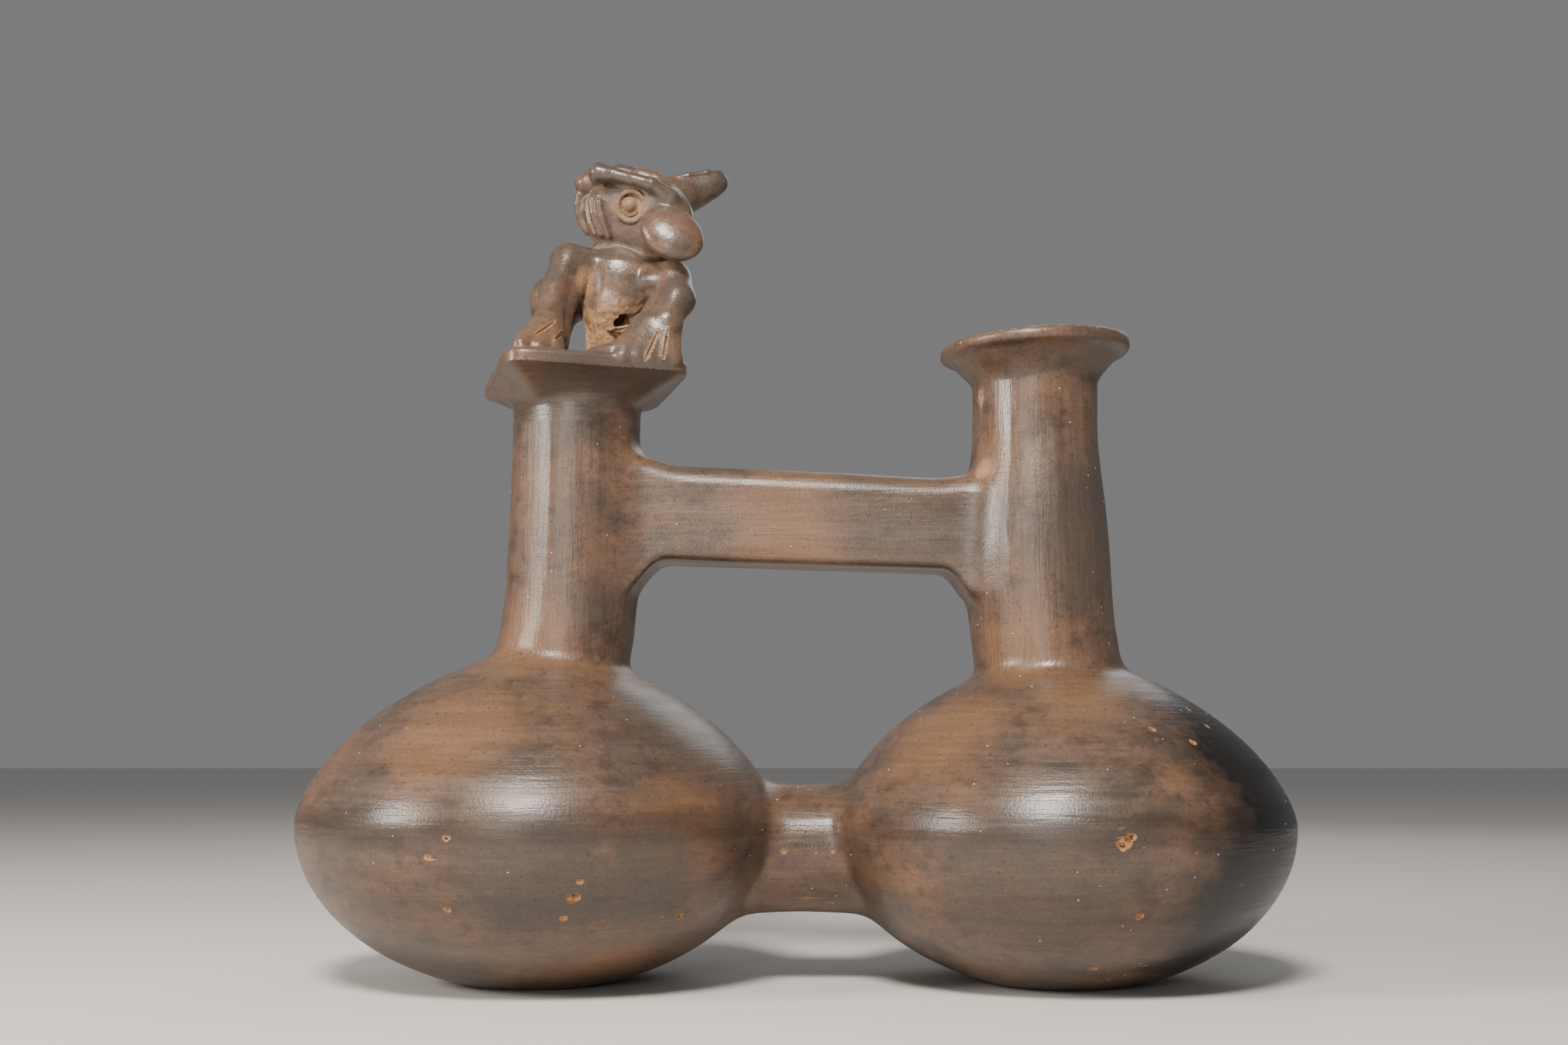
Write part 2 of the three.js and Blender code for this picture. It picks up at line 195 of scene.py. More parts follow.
def flats(x, y, count, turn):
    """How far the scraped flats lie below a round neck, uneven from flat to flat."""
    angle = np.arctan2(y, x) + turn
    return 0.3 * np.abs(np.sin(count / 2 * angle + 0.7 * np.sin(2 * angle)))


def neck(place, centre, radius, top, turn):
    """An upright neck whose centre and radius are functions of the height."""
    x, y, z = place
    away = x - centre(z)
    scraped = flats(away, y, 11, turn) * ramp(80, 90, z) * (1 - ramp(130, 142, z))
    side = np.hypot(away, y) - radius(z) + scraped
    return np.maximum(side, np.maximum(70 - z, z - top))


LIP = {"radius": 23.6, "middle": 155.2, "half": 1.75, "edge": 1.5, "lean": 0.044, "flare": 6.6}
BORE = {"left": 11.6, "left_top": 139, "right": 12.2, "funnel": 9.6}


def flared(z):
    """The open neck's radius, with the flare under the lip."""
    return right_radius(z) + LIP["flare"] * ramp(145.5, 156, z)


def lip_height(place):
    """The height as the leaning lip sees it."""
    x, _, z = place
    return z - LIP["lean"] * (x - 60) * ramp(140, 152, z)


def left_neck(place):
    return neck(place, left_centre, left_radius, 142, 0.1)


def right_neck(place):
    x, y, _ = place
    z = lip_height(place)
    body = neck((x, y, z), right_centre, flared, 155.5, 0.35) * mix(1, 0.75, ramp(145, 149, z))
    out = np.hypot(x - right_centre(z), y) - (LIP["radius"] - LIP["edge"])
    up = np.abs(z - LIP["middle"]) - (LIP["half"] - LIP["edge"])
    edge = np.hypot(np.maximum(out, 0), np.maximum(up, 0)) + np.minimum(np.maximum(out, up), 0)
    return join(body, edge - LIP["edge"], 2)


def right_bore(place):
    """The hollow of the open neck: a plain bore that widens into a funnel."""
    x, y, _ = place
    z = lip_height(place)
    radius = BORE["right"] + BORE["funnel"] * ramp(147, 157.5, z) ** 1.2
    return np.hypot(x - right_centre(z), y) - radius


# %% [markdown]
# The tube and the bar
#
# The tube is a roll of clay that thickens where it meets the chambers. The bar is a slab, nearly level,
# with rounded upper edges, a sharper lower front edge and a flat underside.

# %% Tube and bar
TUBE = {"middle": 1.5, "half_length": 24, "level": 32.1, "radius": 15.7, "swelling": 1.2, "bore": 10.8}


def tube(place):
    x, y, z = place
    away = x - TUBE["middle"]
    scraped = 0.25 * np.abs(np.sin(3.5 * np.arctan2(z - 32, y)))
    radius = TUBE["radius"] + TUBE["swelling"] * (away / TUBE["half_length"]) ** 2 - scraped
    return np.maximum(np.hypot(y, z - TUBE["level"]) - radius, np.abs(away) - TUBE["half_length"])


def bar(place):
    """Its top and bottom slope down a little to the right, and it deepens where it meets each neck."""
    x, y, z = place
    top = 123.9 - 0.052 * x + 2 * ramp(-26, -40, x) + 0.9 * ramp(33, 43, x)
    bottom = 100.6 - 0.032 * x - 7 * ramp(-29, -41, x) ** 2 - 6 * ramp(34, 43, x) ** 2
    middle, half = (top + bottom) / 2, (top - bottom) / 2
    edge = mix(2.2, 5.2, ramp(-3, 3, z - middle))
    depth = 9.9 - 0.4 * np.cos(x / 19)
    front = np.abs(y) - (depth - edge)
    up = np.abs(z - middle) - (half - edge)
    slab = np.hypot(np.maximum(front, 0), np.maximum(up, 0)) + np.minimum(np.maximum(front, up), 0) - edge
    return np.maximum(slab, np.abs(x - 2) - 54)


# %% [markdown]
# The platform
#
# The left neck swells into a square plate with rounded corners. It was pressed on by hand, so it is
# turned a little, and it hangs to the back.

# %% Platform
PLATFORM = {"x": -53.4, "half": 22.7, "turn": math.radians(16), "top": 149.6, "foot": 138.4, "thick": 3.4,
            "power": 9, "edge": 1.3}


def hang(place):
    """How far the platform's own level lies below the vessel's."""
    _, y, z = place
    return 0.045 * y * ramp(PLATFORM["foot"], PLATFORM["top"] - PLATFORM["thick"], z)


def platform(place):
    x, y, z = place
    z = z + hang(place)
    foot, top, power = PLATFORM["foot"], PLATFORM["top"], PLATFORM["power"]
    under = top - PLATFORM["thick"]
    share = np.clip((z - foot) / (under - foot), 0, 1) ** 1.35
    across = x - mix(left_centre(foot), PLATFORM["x"], share)
    angle = np.arctan2(y, across) - PLATFORM["turn"]
    round_off = (np.abs(np.cos(angle)) ** power + np.abs(np.sin(angle)) ** power) ** (1 / power)
    square = PLATFORM["half"] / round_off
    side = np.hypot(across, y) - mix(left_radius(foot) - 1.8, square, share)
    edge = PLATFORM["edge"]
    bottom = foot - 6
    out, up = side * 0.8 + edge, np.abs(z - (top + bottom) / 2) - ((top - bottom) / 2 - edge)
    return np.hypot(np.maximum(out, 0), np.maximum(up, 0)) + np.minimum(np.maximum(out, up), 0) - edge


# %% [markdown]
# The animal's chest and legs
#
# The chest is a cone that stands on its point. It could be rolled round a stick, which leaves the
# whistle's hollow. The limbs are rolls of clay, thick at the shoulder, and the forepaws are pressed out
# flat over the near edge of the platform. A reed cuts the slits between the toes.

# %% Chest, body and limbs
def chest(place):
    """A cone, the breast beside it, the keel down its front, the back and the rump."""
    _, y, z = place
    cone = rolls(place, [(-48.8, -1.5, 148, 3.5), (-48.3, -1.5, 157, 4), (-46.8, -1.2, 165.5, 6.6),
                         (-45.6, 1.8, 173.5, 9.4), (-44, 6, 181, 8)], 3)
    cone = join(cone, egg(place, (-40.6, -0.6, 172.8), (6.6, 6.6, 8)), 4)
    keel = rolls(place, [(-46.8, -4, 177.5, 0.6), (-47.6, -6.2, 171, 0.8), (-48, -6.6, 164, 0.6)], 1)
    cone = join(cone, keel, 2.6)
    eaten = ramp(172, 161, z) * ramp(2, -5, y)
    cone = cone + eaten * (0.25 * swell(place, 0.9) + 0.4 * swell(place, 2.2))
    back = egg(place, (-46, 8, 177.2), (9.2, 12.2, 8))
    rump = ball(place, (-46.8, 13.8, 174), 7.4)
    return join(join(cone, back, 4), rump, 5)


def left_foreleg(place):
    """Two rolls make the arm, and three toes spread from its wrist."""
    arm = rolls(place, [(-50, -2.5, 176.6, 4.2), (-57, -4.4, 177.4, 4.4), (-60, -9.6, 168, 3.6),
                        (-60.4, -13.6, 161, 3.3)], 2)
    inner = rolls(place, [(-55, -4, 175, 4.2), (-57.4, -8, 166, 2.8), (-58.4, -12.5, 156, 2.6)], 2)
    arm = join(arm, inner, 1.6)
    for x, y, z, radius in [(-65.8, -23.6, 151.6, 2.3), (-61.8, -22.4, 151, 2.3), (-57.8, -20.8, 150.6, 2.2)]:
        arm = join(arm, roll(place, (0.2 * x - 48.4, -15, 158.8, 3), (x, y, z, radius)), 3)
    return arm


def right_foreleg(place):
    """An arm bent at the elbow, the skin of the paw along the platform's edge, and five toes."""
    arm = rolls(place, [(-38, -2, 172.5, 5.4), (-31.2, -5.5, 172.2, 4.8), (-29.4, -9, 166.5, 4.3),
                        (-31.6, -12.4, 160.5, 3.6)], 2)
    web = rolls(place, [(-34.4, -8, 165, 3), (-38, -12.4, 158.8, 2), (-42.4, -17, 152.4, 2),
                        (-49, -20, 150.4, 1.5)], 2)
    arm = join(arm, web, 3)
    for x in (-42, -38.8, -35.6, -32.4, -29.6):
        end = (x, -6.8 + 0.29 * x, 149.9, 2)
        arm = join(arm, roll(place, (0.55 * x - 14.4, -13, 159, 2.6), end), 3)
    return arm


def hind_legs(place):
    left = rolls(place, [(-51, 12, 174, 6), (-61.8, 9.5, 170.6, 6.4), (-62.6, 6, 158.5, 4.1),
                         (-63.4, -1, 151, 2.9)], 3)
    right = rolls(place, [(-45, 13, 174, 6), (-36.5, 13, 169.5, 6.4), (-36.5, 10, 157, 4.7),
                          (-37, 3, 150.4, 2.9)], 3)
    return np.minimum(left, right)


# %% [markdown]
# The head
#
# The head is turned to the left, looks up and rolls over towards the viewer. It is easiest to model in
# its own directions: forward, side and up from the middle of the skull. What sits on one side is given
# once and comes out on both, because the side distance is mirrored. Only the ears differ.

# %% The head's own directions and its sizes
SKULL = np.array((-40.4, 0.5, 190.5))
SIDE = Vector((-0.17, -0.93, -0.33)).normalized()
FORWARD = Vector((-0.966, 0.09, 0.24)).normalized()
UP = FORWARD.cross(SIDE).normalized()
HEAD = {"forward": 13.0, "side": 8.6, "up": 10.0, "power": 3.2, "chin": 11.6}


def in_head(place):
    away = [p - s for p, s in zip(place, SKULL)]
    return [sum(d * n for d, n in zip(away, axis)) for axis in (FORWARD, SIDE, UP)]


def cheek(forward, up):
    """How far the side of the skull stands from its middle plane."""
    left = 1 - abs(forward / HEAD["forward"]) ** HEAD["power"] - abs((up + 1) / HEAD["up"]) ** HEAD["power"]
    return HEAD["side"] * max(left, 0) ** (1 / HEAD["power"])


def on_cheek(stations, proud=0.0):
    """Stations (forward, up, radius) laid on the side of the skull, for a roll of clay."""
    return [(forward, cheek(forward, up) + proud, up, radius) for forward, up, radius in stations]


# %% Skull, muzzle, folds and eyes
EYE = {"up": 3.0, "ring": 3.35, "roll": 0.62, "ball": 2.1, "groove": 2.5}
eye_level = cheek(0, EYE["up"])
near_eye = SKULL + eye_level * np.array(SIDE) + EYE["up"] * np.array(UP)
print("near eye at", near_eye.round(1))


def skull(place):
    """A block with rounded edges, its chin cut off at a slant, and the nape behind it."""
    forward, side, up = in_head(place)
    power = HEAD["power"]
    block = (np.abs(forward) / HEAD["forward"]) ** power + (np.abs(side) / HEAD["side"]) ** power
    block = (block + (np.abs(up + 1) / HEAD["up"]) ** power) ** (1 / power)
    chin = 0.62 * forward - 0.78 * up - HEAD["chin"]
    nape = egg((forward, side, up), (-6, 0, -4), (9, 8, 8))
    return join(cut((block - 1) * HEAD["side"], -chin, 2), nape, 3)


def muzzle(here):
    """Nostril bulges, the rim of the mouth, and the folds behind it."""
    clay = roll(here, (13.6, 2.8, 5.6, 3), (11.3, 0, 4.8, 3.2))
    rim = rolls(here, [(14.4, 0, 3.4, 1.1), (14.6, 4.2, 2.6, 1), (14.5, 4.8, 0.4, 1), (13.9, 4.8, -1.8, 1),
                       (12.5, 4.8, -4, 1), (10.6, 5.2, -6, 0.9)], 0.6)
    under = roll(here, (12.5, 4.8, -4, 1), (12.6, 0, -4.6, 1.2))
    rim = join(rim, under, 0.6)
    clay = join(clay, rim, 0.5)
    thin = on_cheek([(11.9, 2.2, 0.6), (11.5, -0.4, 0.65), (9.9, -3.4, 0.65), (8.2, -5.6, 0.5)], 0.3)
    clay = np.minimum(clay, rolls(here, thin, 0.3))
    lid = on_cheek([(9, 4.7, 0.45), (5, 6.2, 0.45), (1, 6.9, 0.45), (-2.8, 6.9, 0.35)], 0.1)
    clay = np.minimum(clay, rolls(here, lid, 0.4))
    for back in (0, 2.2):
        fold = on_cheek([(10.3 - back, 2.4, 1.1), (9 - back, -0.8, 1.15), (6.4 - back, -5.4, 1)], 0.4)
        clay = np.minimum(clay, rolls(here, fold, 0.5))
    return clay


def face(place):
    """The skull with its muzzle, the open mouth, and on each side a grooved, ringed eye."""
    forward, side, up = in_head(place)
    here = (forward, np.abs(side), up)
    head = join(join(skull(place), egg(here, (11.5, 0, -0.6), (4, 6.2, 5.6)), 1), muzzle(here), 0.6)
    head = cut(head, egg(here, (17, 0, -0.6), (3, 3.4, 2.8)), 0.5)
    around = np.hypot(forward, (up - EYE["up"]) * 0.88)
    head = cut(head, np.hypot(around - EYE["groove"], here[1] - eye_level) - 0.25, 0.3)
    head = join(head, np.hypot(around - EYE["ring"], here[1] - eye_level) - EYE["roll"], 0.35)
    return join(head, ball(here, (0.4, eye_level - 0.8, EYE["up"] + 0.3), EYE["ball"]), 0.3)


def brow(place):
    """A thick ridge over each eye. The far one is notched."""
    forward, side, up = in_head(place)
    near = rolls((forward, side, up), [(9.4, 8, 9.2, 2.8), (6, 8.5, 9.7, 1.9), (0.5, 8.8, 9.7, 1.6),
                                       (-4.4, 8.8, 9.4, 1.8), (-9.4, 7.6, 7.2, 2)], 1.2)
    temple = egg(place, (-33, -6, 190.2), (8.4, 6.6, 4.8), (0.6, -0.1, -0.78), (0.78, 0.2, 0.56))
    near = join(near, temple, 3.5)
    far = rolls((forward, side, up), [(8.4, -7.6, 9.3, 2.3), (5.6, -8, 9.5, 2)], 1)
    crest = rolls((forward, side, up), [(3, -8.2, 9.6, 2), (-1, -8.2, 9.3, 2), (-5.4, -8, 8.4, 2)], 1)
    between = egg((forward, side, up), (0.5, 0, 7.4), (9, 8, 3))
    return join(np.minimum(join(near, far, 0.5), crest), between, 1.5)


# %% Ears, and the whole animal
def ears(place):
    """The near ear hangs over the cheek. The far one stands up and has a thin rim."""
    near = egg(place, (-30.7, -11.4, 182.6), (8.5, 6.9, 3.3), (0.76, -0.08, -0.64), (0.62, 0.3, 0.72))
    far = join(egg(place, (-28.4, 7.6, 198.6), (7.4, 4.9, 3.2), (0.9, 0.16, 0.4), (-0.4, -0.1, 0.9)),
               egg(place, (-22.6, 9, 201.3), (5.4, 3.7, 2.9), (0.9, 0.16, 0.4), (-0.4, -0.1, 0.9)), 3)
    rim = rolls(place, [(-32, 5.4, 201.9, 0.9), (-27.5, 6, 203, 0.9), (-23, 7, 204, 0.9),
                        (-19.4, 8.4, 204.4, 0.8)], 0.8)
    far = join(far, rim, 0.7)
    root = roll(place, (-34, 3.4, 196, 4.4), (-29, 6.4, 197.4, 4))
    return join(near, join(far, root, 2), 0.5)


def animal(place):
    whole = join(chest(place), hind_legs(place), 3)
    whole = join(whole, left_foreleg(place), 1.6)
    whole = join(whole, right_foreleg(place), 0.8)
    head = join(face(place), brow(place), 0.8)
    head = join(head, ears(place), 2)
    return join(whole, head, 0.8)


# %% [markdown]
# The whistle and the hollow vessel
#
# The chambers, the tube and the necks are hollow, with walls of about 5 mm. A duct leads from the
# closed neck up into the chest. The chest is broken open low on its right, and the raw clay inside the
# break is rough.

# %% Hollows
# each slit's two ends and half its width
SLITS = [((-33.3, -17, 157), (-36.6, -20.4, 147.8), 0.42), ((-31.2, -16.4, 157), (-32, -19.2, 148.4), 0.32),
         ((-58, -18.6, 159.2), (-62.8, -23.4, 154.2), 0.4), ((-55.9, -16, 156.6), (-58, -21.8, 153.4), 0.35)]


def whistle(place):
    """The hollow of the chest, the duct that feeds it, and the ragged break low on its right."""
    hollow = egg(place, (-45.4, 3.6, 171.6), (5.2, 6.6, 5))
    duct = rolls(place, [(-50.6, -1.5, 136, 1.9), (-48.9, -1.5, 158, 1.7), (-46, 0.5, 168, 1.9)], 0.5)
    breach = roll(place, (-40.6, -9.4, 159.4, 2.4), (-45.4, -1.6, 163.4, 2.2)) + 0.4 * swell(place, 1.3)
    return join(join(hollow, duct, 1), breach, 1)


def left_bore(place):
    x, y, z = place
    return np.maximum(np.hypot(x - left_centre(z), y) - BORE["left"], z - BORE["left_top"])


def slits(place):
    """The cuts between the toes: long and narrow."""
    cuts = []
    for start, end, width in SLITS:
        along = np.subtract(end, start)
        radii = (np.linalg.norm(along) / 2, width, 1.3)
        cuts.append(egg(place, tuple(np.add(start, end) / 2), radii, tuple(along), (1, 0.2, 0)))
    return np.minimum.reduce(cuts)


def strand(place):
    """A thin tongue of clay that still crosses the broken opening."""
    return roll(place, (-46.4, -6.4, 159.4, 0.45), (-39.4, -8.6, 160.2, 0.4))


# %% [markdown]
# Pits and chips
#
# Here and there a grain of temper burst out of the skin and left a pit. They could be dark spots in the
# material, but a pit catches the light on one side, so each is bitten out of the clay where the
# photograph shows it.

# %% Pits and chips
# how far right and how high each pit lies, and its radius
PITS = [(-48.3, 23.9, 1.5), (-50.6, 19.4, 0.9), (-75.5, 21.4, 0.8), (-26.3, 18.4, 1.1), (-79.2, 32.6, 0.7),
        (-74.9, 36.8, 0.6), (-46.7, 27.5, 0.7), (69.8, 35.6, 1.7), (71.6, 36.9, 0.9), (79.9, 60.1, 0.8),
        (89.2, 57.2, 0.9), (95, 61, 0.7), (91.6, 64.9, 0.7), (65.7, 7.2, 1), (74, 19.8, 0.9),
        (45.8, 142.3, 0.9), (45, 122.2, 0.7), (3.6, 46.1, 0.5), (-3, 31.8, 0.6), (8.6, 31.9, 0.5),
        (2.2, 20.7, 0.8), (8.1, 19.5, 0.6)]


def front_of(field, x, z):
    """Where the clay is first met on the way back from the viewer, at x and z."""
    depths = np.arange(-64, 0, 0.1)
    inside_clay = field((np.full_like(depths, x), depths, np.full_like(depths, z))) < 0
    return float(depths[np.argmax(inside_clay)])


def pits(place):
    """Each pit is three small bites side by side."""
    bites = []
    for (x, y, z), (_, _, radius) in zip(pit_places, PITS):
        for turn in (0.3, 2.5, 4.4):
            bite = (x + 0.4 * radius * math.cos(turn), y, z + 0.4 * radius * math.sin(turn))
            bites.append(ball(place, bite, radius * (0.7 - 0.05 * turn)))
    return np.minimum.reduce(bites)


# %% [markdown]
# Three skins
#
# The chambers are large and plain, while the animal's eye is 6 mm across, so they are meshed at
# different fineness: the outer skin of the vessel, the platform with its animal, and the unseen inside.
# The three are cut level where they meet and sewn together, which leaves one closed skin.

# %% The three distances to be meshed
def shape_swell(place):
    """The hand's unevenness: slow lumps, and smaller ones on them."""
    return 0.35 * swell(place, 41) + 0.12 * swell(place, 13)


def unworn(place):
    """The outside of the chambers, the tube, the necks and the bar, before it was worn."""
    body = join(chamber(place, LEFT), chamber(place, RIGHT), 1)
    body = join(body, tube(place), 5)
    necks = np.minimum(left_neck(place), right_neck(place))
    necks = join(necks, bar(place), 7)
    clay = join(body, necks, 5.5) + shape_swell(place)
    clay = cut(clay, np.maximum(right_bore(place), 132 - place[2]), 1)
    return np.maximum(clay, -place[2])


pit_places = [(x, front_of(unworn, x, z), z) for x, z, _ in PITS]
print(len(pit_places), "pits, the first at", [round(value, 1) for value in pit_places[0]])


def outside(place):
    return cut(unworn(place), pits(place), 0.15)


def inside(place):
    """The hollow of the chambers, the tube and the necks."""
    body = join(chamber(place, LEFT, WALL), chamber(place, RIGHT, WALL), 1)
    x, y, z = place
    away = np.abs(x - TUBE["middle"]) - TUBE["half_length"] - 2
    body = join(body, np.maximum(np.hypot(y, z - TUBE["level"]) - TUBE["bore"], away), 6)
    left = np.maximum(left_bore(place), 66 - z)
    right = np.maximum(right_bore(place), np.maximum(64 - z, z - 150))
    return join(body, np.minimum(left, right), 5)


def upper_left(place):
    """The top of the closed neck, the platform and the animal, hollowed and slit."""
    neck_top = np.maximum(left_neck(place) + shape_swell(place), 128 - place[2])
    clay = join(neck_top, platform(place) + 0.15 * swell(place, 9), 2.2)
    clay = join(clay, animal(place) + 0.1 * swell(place, 5), 1.2)
    clay = cut(clay, np.minimum(whistle(place), left_bore(place)), 0.4)
    clay = cut(clay, slits(place), 0.3)
    return join(clay, strand(place), 0.3)


# %% [markdown]
# From distances to a mesh
#
# OpenVDB, which comes with Blender, finds where a grid of distances crosses zero. Each vertex is then
# slid along the slope until its distance really is zero, so the mesh lies on the true form and not on
# the grid's approximation. Decimate then spends the faces where the clay bends.

# %% Mesh a distance
def slope_of(field, points, reach=0.05):
    """How fast the distance grows along x, y and z at each point."""
    slopes = []
    for axis in range(3):
        ahead, behind = points.copy(), points.copy()
        ahead[:, axis] += reach
        behind[:, axis] -= reach
        slopes.append((field(ahead.T) - field(behind.T)) / (2 * reach))
    return np.array(slopes).T


def settle(field, points, rounds=3):
    """Slide points on to the zero of the field."""
    for _ in range(rounds):
        slope = slope_of(field, points)
        size = (slope ** 2).sum(1).clip(0.05)
        step = field(points.T) / size
        points = points - np.clip(step, -0.5, 0.5)[:, None] * slope
    return points


ROUGH = 4  # the rough pass takes every fourth place


def sample(field, axes, step):
    """The distances on a grid, worked out in full only where a rough pass finds the skin."""
    rough = field([axis.ravel() for axis in np.meshgrid(*[axis[::ROUGH] for axis in axes], indexing="ij")])
    rough = rough.reshape([len(axis[::ROUGH]) for axis in axes])
    for direction, axis in enumerate(axes):
        nearest = np.round(np.arange(len(axis)) / ROUGH).astype(int)
        nearest = np.minimum(nearest, rough.shape[direction] - 1)
        rough = np.take(rough, nearest, axis=direction)
    near = np.abs(rough) < 7 * step
    picks = np.nonzero(near)
    rough[near] = field([axis[pick] for axis, pick in zip(axes, picks)])
    return rough


def skin(name, field, low, high, step, keep):
    """A mesh object, in millimetres, where the field is zero. keep is the share of faces it keeps."""
    axes = [np.arange(start, end + step, step) for start, end in zip(low, high)]
    values = sample(field, axes, step)
    vdb = openvdb.FloatGrid(2 * step)
    vdb.copyFromArray(np.clip(values, -2 * step, 2 * step).astype(np.float32))
    points, triangles, quads = vdb.convertToPolygons(isovalue=0.0, adaptivity=0.0)
    points = settle(field, points * step + np.array([axis[0] for axis in axes]))
    mesh = bpy.data.meshes.new(name)
    mesh.from_pydata(points.tolist(), [], quads[:, ::-1].tolist() + triangles[:, ::-1].tolist())
    clay = bpy.data.objects.new(name, mesh)
    bpy.context.scene.collection.objects.link(clay)
    thin = clay.modifiers.new("Decimate", "DECIMATE")
    thin.ratio = keep
    evaluated = clay.evaluated_get(bpy.context.evaluated_depsgraph_get())
    thinned = bpy.data.meshes.new_from_object(evaluated)
    bpy.data.objects.remove(clay)
    print(name, len(thinned.vertices), "vertices,", len(thinned.polygons), "faces")
    return thinned


def refine(mesh, field, centres, reach, cuts):
    """Split the faces near some places, and settle them again."""
    clay = bmesh.new()
    clay.from_mesh(mesh)
    for centre, near in zip(map(Vector, centres), reach):
        close = {vert for vert in clay.verts if (vert.co - centre).length < near}
        edges = {edge for vert in close for edge in vert.link_edges if edge.other_vert(vert) in close}
        bmesh.ops.subdivide_edges(clay, edges=list(edges), cuts=cuts, use_grid_fill=True)
        close = [vert for vert in clay.verts if (vert.co - centre).length < near]
        for vert, place in zip(close, settle(field, np.array([vert.co for vert in close]))):
            vert.co = place
    bmesh.ops.triangulate(clay, faces=clay.faces)
    clay.to_mesh(mesh)
    clay.free()
    print("refined to", len(mesh.polygons), "faces")


shell = skin("outer skin", unworn, (-123, -61, -3), (123, 61, 161), step=1.2, keep=0.34)
refine(shell, outside, pit_places, [2 + 1.4 * radius for _, _, radius in PITS], cuts=3)
crown = skin("platform and animal", upper_left, (-82, -31, 131), (-15, 29, 209), step=0.45, keep=0.34)
hollow = skin("inside", inside, (-118, -56, 1), (118, 56, 152), step=3.0, keep=0.9)

# %% [markdown]
# One closed skin
#
# The skins are cut level inside the left neck and inside the open neck, where nobody sees the joint, and
# the narrow gap between each pair of cut edges is filled with triangles, the way a zip closes. The smooth
# shading then takes its directions from the distances themselves, so highlights run clean over any
# triangle.

# %% Cut the skins where they meet
SEAM = {"left": 134.6, "crown": 135.0, "right_inside": 140.0, "right_outside": 140.4}


def trim(mesh, level, keep_above, near):
    """Cut the faces whose middle passes near() at a height, and drop one side."""
    clay = bmesh.new()
    clay.from_mesh(mesh)
    faces = [face for face in clay.faces if near(face.calc_center_median())]
    around = {item for face in faces for item in [*face.edges, *face.verts]}
    bmesh.ops.bisect_plane(clay, geom=faces + list(around), dist=1e-4, plane_co=(0, 0, level),
                           plane_no=(0, 0, 1), clear_outer=not keep_above, clear_inner=keep_above)
    clay.to_mesh(mesh)
    clay.free()


def in_right_bore(point):
    return math.hypot(point.x - right_centre(point.z), point.y) < 14 and 125 < point.z < 146


trim(shell, SEAM["left"], False, lambda point: point.x < -20 and point.z > 131)
trim(shell, SEAM["right_outside"], True, in_right_bore)
trim(crown, SEAM["crown"], True, lambda point: True)
trim(hollow, SEAM["left"], False, lambda point: point.x < -20 and point.z > 100)
trim(hollow, SEAM["right_inside"], False, lambda point: point.x > 20 and point.z > 100)


# %% Sew them
def ring(clay, x, level, low, high):
    """The open edge at a height, between two distances from the axis at x, in order round that axis."""
    rim = [vert for vert in clay.verts if vert.is_boundary and abs(vert.co.z - level) < 0.01
           and low < math.hypot(vert.co.x - x, vert.co.y) < high]
    return sorted(rim, key=lambda vert: math.atan2(vert.co.y, vert.co.x - x))


def sew(clay, x, first, second):
    """Fill the gap between two rings, always stepping to the next vertex round the axis."""
    turns = [[math.atan2(vert.co.y, vert.co.x - x) for vert in rim] for rim in (first, second)]
    for turn in turns:
        turn.append(turn[0] + math.tau)
    i = j = 0
    while i < len(first) or j < len(second):
        on_first = j == len(second) or (i < len(first) and turns[0][i + 1] < turns[1][j + 1])
        tip = first[(i + 1) % len(first)] if on_first else second[(j + 1) % len(second)]
        clay.faces.new((first[i % len(first)], second[j % len(second)], tip))
        i, j = i + on_first, j + (not on_first)


clay = bmesh.new()
for mesh in (shell, crown, hollow):
    clay.from_mesh(mesh)
left, right = left_centre(SEAM["left"]), right_centre(SEAM["right_inside"])
sew(clay, left, ring(clay, left, SEAM["left"], 14, 20), ring(clay, left, SEAM["crown"], 14, 20))
sew(clay, left, ring(clay, left, SEAM["left"], 9, 13), ring(clay, left, SEAM["crown"], 9, 13))
sew(clay, right, ring(clay, right, SEAM["right_inside"], 9, 14),
    ring(clay, right, SEAM["right_outside"], 9, 14))
bmesh.ops.triangulate(clay, faces=clay.faces)
bmesh.ops.recalc_face_normals(clay, faces=clay.faces)
if clay.calc_volume(signed=True) < 0:
    bmesh.ops.reverse_faces(clay, faces=clay.faces)
open_edges = sum(not edge.is_manifold for edge in clay.edges)
print("open edges", open_edges, "clay volume", round(clay.calc_volume() / 1000), "cubic centimetres")
vessel_mesh = bpy.data.meshes.new("vessel_clay")
clay.to_mesh(vessel_mesh)
clay.free()
print("one skin of", len(vessel_mesh.vertices), "vertices and", len(vessel_mesh.polygons), "triangles")


# %% Shade it by the distances
def skins_of(points):
    """Which points are on the platform and the animal, and which are on the inside."""
    figure = (points[:, 2] > SEAM["crown"] - 0.2) & (points[:, 0] < -10)
    within = ~figure & (np.abs(inside(points.T)) < 1.5) & (points[:, 2] < SEAM["right_inside"] + 0.1)
    return figure, within


def clay_slope(points):
    """The direction away from the clay at points on its skin."""
    figure, within = skins_of(points)
    slope = slope_of(outside, points)
    slope[figure] = slope_of(upper_left, points[figure])
    slope[within] = -slope_of(inside, points[within])
    return slope / np.sqrt((slope ** 2).sum(1))[:, None]


